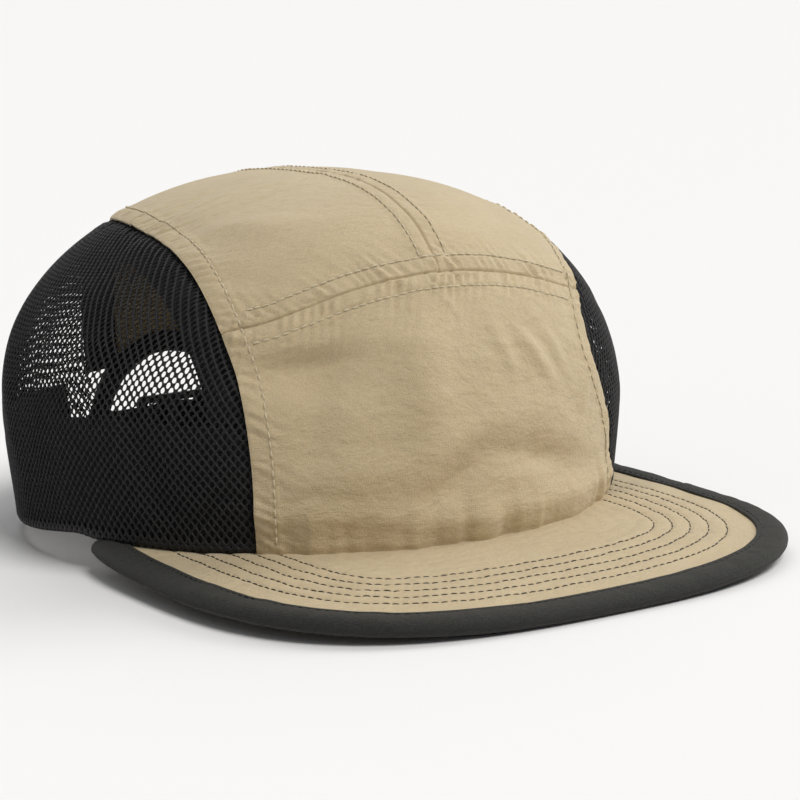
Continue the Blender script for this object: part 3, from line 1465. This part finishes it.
def strap_face(turn, height):
    """Places on the strap's outer face, before it climbs, and the way out."""
    disc = disc_point(turn, share_at_height(turn, height))
    out = crown_frame(disc)[2]
    bare = crown(disc)
    return bare + out * (fold_lift(bare, main_folds) - STRAP["depth"])[..., None], out


def face_y(turn):
    return float(strap_face(np.radians([turn]), strap_middle)[0][0, 1])


slider_back = face_y(SLIDER_SEAT["turn"]) + SLIDER_SEAT["gap"]
strap_climb = slider_back + SLIDER["thickness"] + BAR_GAP + STRAP["thickness"] - face_y(180.0)
print(f"the strap climbs {strap_climb:.1f} mm over the bar")

# %% Strap
STRAP_STATIONS = 161
# across the strap, and thickness there: the selvedges are thinner than the middle
STRAP_SECTION = [(0, 0.15), (0.03, 0.7), (0.08, 0.95), (0.15, 1), (0.3, 0.96), (0.5, 1),
                 (0.7, 0.96), (0.85, 1), (0.92, 0.95), (0.97, 0.7), (1, 0.15)]
# millimetres from the middle: where it starts to lean with the crown, and where it climbs
STRAP_LEANS = (15, 26)
STRAP_CLIMBS = (2.6, 9.2)


def back_strap():
    ends = 180 - STRAP["half_turn"], 180 + STRAP["half_turn"]
    turns = np.radians(np.linspace(*ends, STRAP_STATIONS))
    upright = strap_face(turns, strap_middle)[0]
    layers = [[], []]
    for across, thick in STRAP_SECTION:
        height = STRAP["bottom"] + STRAP["width"] * across
        face, out = strap_face(turns, height)
        leaning = smooth_step(*STRAP_LEANS, np.abs(face[:, 0]))[:, None]
        face = upright * (1 - leaning) + face * leaning
        climb = strap_climb * (1 - smooth_step(*STRAP_CLIMBS, np.abs(face[:, 0])))
        lying = unit(out * (1, 1, 0))
        face[:, 2] = height
        middle = face + lying * (climb - STRAP["thickness"] / 2)[:, None]
        for layer, side in zip(layers, (0.5, -0.5)):
            layer.append(middle + lying * side * thick * STRAP["thickness"])
    outer, inner = (np.stack(layer, axis=1) for layer in layers)
    run = run_along(outer[:, len(STRAP_SECTION) // 2])
    uv = grid_map(run, [STRAP["width"] * across for across, _ in STRAP_SECTION])
    return thick_sheet("back_strap_webbing", outer, inner, uv)


# %% [markdown]
# ### How webbing looks
# Webbing is woven so tightly that it shows small even lumps, where its ribs along the strap
# cross the threads that run over it. Two wave textures, one each way, multiplied with each other
# make such lumps, and they give the colour as well as the bump.

# %% Webbing finish
def webbing_finish():
    material, shader = new_finish("black_webbing", {
        "Roughness": 0.6, "Specular IOR Level": 0.35, "Sheen Weight": 0.2, "Sheen Roughness": 0.4,
    })
    place = cloth_place(material)
    weave = combine(material, "MULTIPLY", waves(material, place, 0.28, 0.6, "X"),
                    waves(material, place, 0.2, 0.8, "Y"))
    paint(material, shader, "Base Color",
          colours(material, weave, (0.007, 0.007, 0.008), (0.02, 0.02, 0.021)))
    bump(material, shader, weave, 0.25, 0.8)
    return material


finish_piece(back_strap(), webbing_finish(), "black_webbing", "back_strap")

# %% [markdown]
# ## Slider
# The slider is moulded in one piece: a frame with a bar down its middle and two slots. A flat
# curve with three outlines, filled and given a rounded edge, makes exactly that. Cutting boxes
# from a box would need a second step to round the edges of the slots.

# %% Slider outlines
CORNER = {"frame": 2.0, "slot": 0.7, "steps": 6}
ROUND_EDGE = {"radius": 0.45, "steps": 3, "sharp_from": 35}


def rounded_box(left, right, bottom, top, corner):
    """A flat outline with round corners, anticlockwise."""
    centres = [(right - corner, top - corner, 0), (left + corner, top - corner, 90),
               (left + corner, bottom + corner, 180), (right - corner, bottom + corner, 270)]
    steps = CORNER["steps"]
    return [(x + corner * math.cos(math.radians(start + 90 * k / steps)),
             y + corner * math.sin(math.radians(start + 90 * k / steps)))
            for x, y, start in centres for k in range(steps + 1)]


def slider_outlines():
    half_width, half_height = SLIDER["half_width"], SLIDER["half_height"]
    slot_top, slot_end = half_height - SLIDER["rail"], half_width - SLIDER["side_bar"]
    bar, corner = SLIDER["middle_bar"], CORNER["slot"]
    return [rounded_box(-half_width, half_width, -half_height, half_height, CORNER["frame"]),
            rounded_box(bar, slot_end, -slot_top, slot_top, corner),
            rounded_box(-slot_end, -bar, -slot_top, slot_top, corner)]


# %% Slider
def slider_curve():
    """The flat curve, filled, thickened and rounded along its edges."""
    radius = ROUND_EDGE["radius"]
    curve = bpy.data.curves.new("slider_outline", "CURVE")
    curve.dimensions = "2D"
    curve.fill_mode = "BOTH"
    curve.extrude = (SLIDER["thickness"] / 2 - radius) * MM
    curve.bevel_depth = radius * MM
    curve.bevel_resolution = ROUND_EDGE["steps"]
    curve.offset = -radius * MM
    for outline in slider_outlines():
        spline = curve.splines.new("POLY")
        spline.points.add(len(outline) - 1)
        corners = [(x * MM, y * MM, 0, 1) for x, y in outline]
        spline.points.foreach_set("co", np.array(corners).ravel())
        spline.use_cyclic_u = True
    return curve


def slider():
    """The curve as a mesh, stood upright at the nape."""
    curve = slider_curve()
    drawn = bpy.data.objects.new("slider_drawn", curve)
    bpy.context.scene.collection.objects.link(drawn)
    graph = bpy.context.evaluated_depsgraph_get()
    mesh = bpy.data.meshes.new_from_object(drawn.evaluated_get(graph))
    bpy.data.objects.remove(drawn)
    bpy.data.curves.remove(curve)
    middle_y = slider_back + SLIDER["thickness"] / 2 - MIDDLE_Y
    place = Matrix.Translation((0, middle_y * MM, strap_middle * MM))
    mesh.transform(place @ Matrix.Rotation(math.pi / 2, 4, "X"))
    mesh.polygons.foreach_set("use_smooth", np.ones(len(mesh.polygons), dtype=bool))
    mesh.set_sharp_from_angle(angle=math.radians(ROUND_EDGE["sharp_from"]))
    piece = bpy.data.objects.new("strap_slider_frame", mesh)
    bpy.context.scene.collection.objects.link(piece)
    print("slider faces:", len(mesh.polygons))
    return piece


# %% [markdown]
# ### How moulded plastic looks
# The mould leaves a fine grain, and handling polishes some patches more than others. One fast
# noise makes the grain's bump, a slow one varies the roughness, and the colour a little with it.

# %% Plastic finish
GLOSS = {"To Min": 0.32, "To Max": 0.52}


def plastic_finish():
    material, shader = new_finish("black_plastic", {"Specular IOR Level": 0.5})
    place = add_node(material, "ShaderNodeTexCoord").outputs["Object"]
    grain = noise(material, place, 2600.0, 3.0)
    wear = noise(material, place, 260.0, 4.0)
    rough = add_node(material, "ShaderNodeMapRange", {"Value": wear, **GLOSS})
    paint(material, shader, "Roughness", rough.outputs["Result"])
    paint(material, shader, "Base Color",
          colours(material, wear, (0.008, 0.008, 0.009), (0.016, 0.016, 0.017)))
    bump(material, shader, grain, 0.03, 0.5)
    return material


finish_piece(slider(), plastic_finish(), "black_plastic", "strap_slider")

# %% [markdown]
# ## Stitches
# Topstitching is what makes cloth look sewn, so every stitch is a small piece of thread: a
# capsule that rises out of one needle hole and dips into the next. All the stitches of one row
# are joined in one mesh. They use the same line, distance and pitch as the grooves in the cloth,
# and lie at the cloth's own height.

# %% One stitch
# along its half length, thickness there, and rise above the cloth
STITCH_SHAPE = [(-1.0, 0.05, -0.30), (-0.8, 0.75, -0.08), (-0.35, 1.0, 0.06),
                (0.35, 1.0, 0.06), (0.8, 0.75, -0.08), (1.0, 0.05, -0.30)]
STITCH_SIDES = 6
STITCH_POINTS = len(STITCH_SHAPE) * STITCH_SIDES
stitch_angles = np.arange(STITCH_SIDES) * 2 * np.pi / STITCH_SIDES


def stitch_faces():
    """Quads round a stitch, and triangles that close its two ends."""
    index = np.arange(STITCH_POINTS).reshape(-1, STITCH_SIDES)
    after = np.roll(index, -1, axis=1)
    quads = np.stack([index[:-1], after[:-1], after[1:], index[1:]], axis=-1).reshape(-1, 4)
    fan = np.array([(0, k, k + 1) for k in range(1, STITCH_SIDES - 1)])
    last = STITCH_POINTS - STITCH_SIDES
    return quads, np.concatenate([fan[:, [0, 2, 1]], fan + last])


# %% A row of stitches
# how much a stitch is turned and shifted by chance
UNEVEN_STITCH = 0.05


def stitch_row(name, places, ways, outs, material, slot, length=2.15, radius=0.26, seed=0):
    """Stitches at given places, along given ways, lying on cloth that faces given ways out."""
    chance = np.random.default_rng(seed)
    count = len(places)
    ways = unit(ways)
    across = unit(np.cross(outs, ways))
    ways = unit(ways + across * chance.normal(0, UNEVEN_STITCH, (count, 1)))
    across = unit(np.cross(outs, ways))
    outs = np.cross(ways, across)
    places = places + across * chance.normal(0, UNEVEN_STITCH, (count, 1))
    rings = []
    for along, thick, rise in STITCH_SHAPE:
        centre = places + ways * along * length / 2 + outs * rise
        ring = (across[:, None] * np.cos(stitch_angles)[:, None]
                + outs[:, None] * np.sin(stitch_angles)[:, None])
        rings.append(centre[:, None] + ring * radius * thick)
    first = (STITCH_POINTS * np.arange(count))[:, None, None]
    quads, ends = stitch_faces()
    lengthwise = np.repeat([along for along, _, _ in STITCH_SHAPE], STITCH_SIDES)
    uv = np.stack([lengthwise, np.tile(stitch_angles, len(STITCH_SHAPE))], axis=-1)
    piece = new_piece(name, np.stack(rings, axis=1).reshape(-1, 3), np.tile(uv, (count, 1)),
                      quads + first, ends + first)
    return finish_piece(piece, material, slot)


# %% [markdown]
# ### How thread looks
# Sewing thread is twisted, so thin slanted lines run round it. Each stitch has a map of the way
# along it and the angle round it, and on that map they are the slanted bands of a wave texture.

# %% Thread finish
def thread_finish(name, low, high):
    material, shader = new_finish(name, {
        "Roughness": 0.5, "Specular IOR Level": 0.4, "Sheen Weight": 0.15, "Sheen Roughness": 0.4,
    })
    twist = waves(material, cloth_place(material), 1.2, 0.5, "DIAGONAL")
    paint(material, shader, "Base Color", colours(material, twist, low, high))
    bump(material, shader, twist, 0.06, 0.6)
    return material


khaki_thread = thread_finish("khaki_thread", (0.55, 0.46, 0.3), (0.8, 0.7, 0.5))
dark_thread = thread_finish("dark_thread", (0.018, 0.014, 0.01), (0.04, 0.033, 0.025))
binding_thread = thread_finish("binding_thread", (0.008, 0.008, 0.007), (0.02, 0.02, 0.018))

# %% Stitches beside the crown's seams
THREAD_LIFT = 0.22
# millimetres without stitches at the two ends of a seam
NO_STITCHES = {"side": (2, 8.5), "centre": (4, 8.5), "forehead": (7, 7)}
# the seam of each row, the side of it that the row is on, and a seed
CROWN_ROWS = {
    "side_left": ("side_left", -1, 6),
    "centre_left": ("centre", 1, 9),
    "side_right": ("side_right", 1, 4),
    "centre_right": ("centre", -1, 7),
    "forehead_above": ("forehead", -1, 12),
    "forehead_below": ("forehead", 1, 10),
}


def stitch_places(length):
    """Places along a line at the stitches' pitch, half a pitch from its start."""
    return (np.arange(int(length / STITCH_PITCH)) + 0.5) * STITCH_PITCH


def stitch_beside(name, seam, hand, seed):
    """A row of stitches beside a seam, on the side that the hand gives."""
    kind = name.split("_")[0]
    runs = stitch_places(seam.run[-1])
    first, last = NO_STITCHES[kind]
    runs = runs[(runs > first) & (runs < seam.run[-1] - last)]
    disc, way, out = along_seam(seam, runs)
    place = disc_beside(disc, np.cross(way, out) * hand, STITCH_ROW[kind])
    bare, normal = crown(place), crown_frame(place)[2]
    lifted = settle(bare, place) + normal * (khaki_lift(bare) + THREAD_LIFT)[:, None]
    return stitch_row(f"stitches_{name}", lifted, way, normal, khaki_thread, "khaki_cloth",
                      seed=seed)


for name, (seam_name, hand, seed) in CROWN_ROWS.items():
    stitch_beside(name, seams[seam_name], hand, seed)

# %% Stitches of the sweatband
# height above the rim and depth of each row, and a seed
BAND_ROWS = {"lower": (3.2, 3.75, 265), "upper": (32.2, 3.6, 265)}
BAND_STITCH = {"short_of_end": 1, "turn_step": 1.7, "sink": 0.12}


def band_stitches(name, up, depth, seed):
    """A row on the band's inner face, facing the middle of the head."""
    end = BAND["end_turn"] - BAND_STITCH["short_of_end"]
    turns = np.radians(np.arange(-end, end, BAND_STITCH["turn_step"]))
    deep = depth + BAND_STITCH["sink"]
    face = band_layer(turns, [(up, deep), (up + 0.1, deep)])[0][:, 0]
    outs = unit(np.array((0.0, RIM["centre_y"], 0.0)) - face * (1, 1, 0))
    return stitch_row(name, face, np.gradient(face, axis=0), outs, dark_thread, "black_tape",
                      seed=seed)


for word, row in BAND_ROWS.items():
    band_stitches(f"band_stitches_{word}", *row)

# %% Stitches of the brim
BRIM_STITCH = {"length": 2.35, "radius": 0.19}
BRIM_THREAD_LIFT = 0.14
BRIM_FACES = {"top": 1, "under": -1}
BRIM_ROW_SEED = {"top": 200, "under": 220}
# a row runs on so far under the crown
UNDER_CROWN = 1


def brim_row(distance):
    """Stitch places along a line that keeps its distance from the brim's edge."""
    place = edge_places + brim_inwards(edge_turns) * distance
    run = run_along(place)
    return read_columns(stitch_places(run[-1]), run, place)


def level_row(name, face, side, thread, seed, **size):
    """A row on the brim or its binding, where the cloth faces straight up or down."""
    outs = np.broadcast_to(UP * side, face.shape)
    return stitch_row(name, face, np.gradient(face, axis=0), outs, thread, "charcoal_binding",
                      seed=seed, **size)


def brim_stitches(name, distance, side, seed):
    place = brim_row(distance)
    place = place[(past_rim(place)[0] > -UNDER_CROWN) & (place[:, 1] < 0)]
    face = brim_face(place, side)
    face[:, 2] += BRIM_THREAD_LIFT * side
    return level_row(name, face, side, dark_thread, seed, **BRIM_STITCH)


for number, row in enumerate(ROWS, 1):
    for word, side in BRIM_FACES.items():
        brim_stitches(f"brim_stitches_{word}_{number}", row, side, BRIM_ROW_SEED[word] + number)

# %% Stitches of the binding
BINDING_ROW = {"distance": 7.35, "lift": 0.1, "short_of_end": 2}
BINDING_STITCH = {"length": 2.0, "radius": 0.24}
BINDING_SEED = {"top": 241, "under": 239}


def binding_stitches(name, side, seed):
    place = brim_row(BINDING_ROW["distance"])
    end = BRIM_END["outer_turn"] - BINDING_ROW["short_of_end"]
    place = place[np.abs(brim_turn(place)) < np.radians(end)]
    cloth = float(np.interp(BINDING_ROW["distance"], *np.array(BINDING_TOP).T))
    rise = side * (cloth + BINDING_ROW["lift"])
    face = np.concatenate([place, (brim_height(place) + rise)[:, None]], axis=-1)
    return level_row(name, face, side, binding_thread, seed, **BINDING_STITCH)


for word, side in BRIM_FACES.items():
    binding_stitches(f"binding_stitches_{word}", side, BINDING_SEED[word])

# %% [markdown]
# ## Studio
# The cap stands on a large pale floor under a weak pale sky. Three far lamps with a wide spread
# do the rest: a strong one high in front, one low on the right that draws the folds, and a soft
# one behind that lights the top. Far lamps light the whole floor evenly, as the walls of a white
# studio do. The camera is low and long, as in a product photograph. Its place was found by
# matching known corners of the cap, so it is given by numbers.

# %% Camera
CAMERA = {"place": (-395.0, -650.4, 176.9), "turn": -32.178, "rise": 10.224, "roll": -1.733,
          "lens": 115.0, "sensor": 36.0}


def camera_axes():
    """The camera's right, up and backward directions."""
    turn, rise, roll = (math.radians(CAMERA[key]) for key in ("turn", "rise", "roll"))
    level_share = math.cos(rise)
    back = np.array([math.sin(turn) * level_share, -math.cos(turn) * level_share, math.sin(rise)])
    level = np.array([math.cos(turn), math.sin(turn), 0.0])
    upright = np.cross(back, level)
    right = math.cos(roll) * level + math.sin(roll) * upright
    return right, -math.sin(roll) * level + math.cos(roll) * upright, back


def place_camera():
    matrix = np.eye(4)
    matrix[:3, :3] = np.stack(camera_axes(), axis=1)
    matrix[:3, 3] = np.array(CAMERA["place"]) * MM
    camera = bpy.data.objects.new("camera", bpy.data.cameras.new("camera"))
    camera.data.lens = CAMERA["lens"]
    camera.data.sensor_width = CAMERA["sensor"]
    camera.matrix_world = Matrix(matrix.tolist())
    bpy.context.scene.collection.objects.link(camera)
    bpy.context.scene.camera = camera


place_camera()
print("camera, millimetres:", CAMERA["place"])

# %% Floor
FLOOR_HALF = 15000.0
WHITE = (1.0, 1.0, 1.0)


def floor():
    material, _ = new_finish("pale_floor", {
        "Base Color": (0.86, 0.86, 0.86, 1.0), "Roughness": 0.9, "Specular IOR Level": 0.2,
    })
    half = FLOOR_HALF * MM
    mesh = bpy.data.meshes.new("floor")
    mesh.from_pydata([(-half, -half, 0), (half, -half, 0), (half, half, 0), (-half, half, 0)],
                     [], [(0, 1, 2, 3)])
    mesh.materials.append(material)
    piece = bpy.data.objects.new("floor", mesh)
    bpy.context.scene.collection.objects.link(piece)


floor()


# %% Lamps and sky
def lamp(name, turn, rise, spread, strength, colour=WHITE):
    """A wide far lamp: its turn round from the front and its rise above the floor, in degrees."""
    light = bpy.data.lights.new(name, "SUN")
    light.angle = math.radians(spread)
    light.energy = strength
    light.color = colour
    holder = bpy.data.objects.new(name, light)
    holder.rotation_euler = (math.radians(90 - rise), 0, math.radians(turn))
    bpy.context.scene.collection.objects.link(holder)


def pale_sky(strength):
    world = bpy.data.worlds.new("pale_sky")
    world.use_nodes = True
    background = world.node_tree.nodes["Background"]
    background.inputs["Color"].default_value = (*WHITE, 1.0)
    background.inputs["Strength"].default_value = strength
    bpy.context.scene.world = world


pale_sky(strength=0.25)
lamp("front_lamp", turn=14, rise=58, spread=30, strength=1.9, colour=(1.0, 0.985, 0.965))
lamp("right_lamp", turn=88, rise=30, spread=30, strength=0.95, colour=(1.0, 0.98, 0.95))
lamp("back_lamp", turn=150, rise=50, spread=50, strength=0.8)
bpy.context.scene.view_settings.view_transform = "Standard"
print("lamps:", [light.name for light in bpy.data.lights])
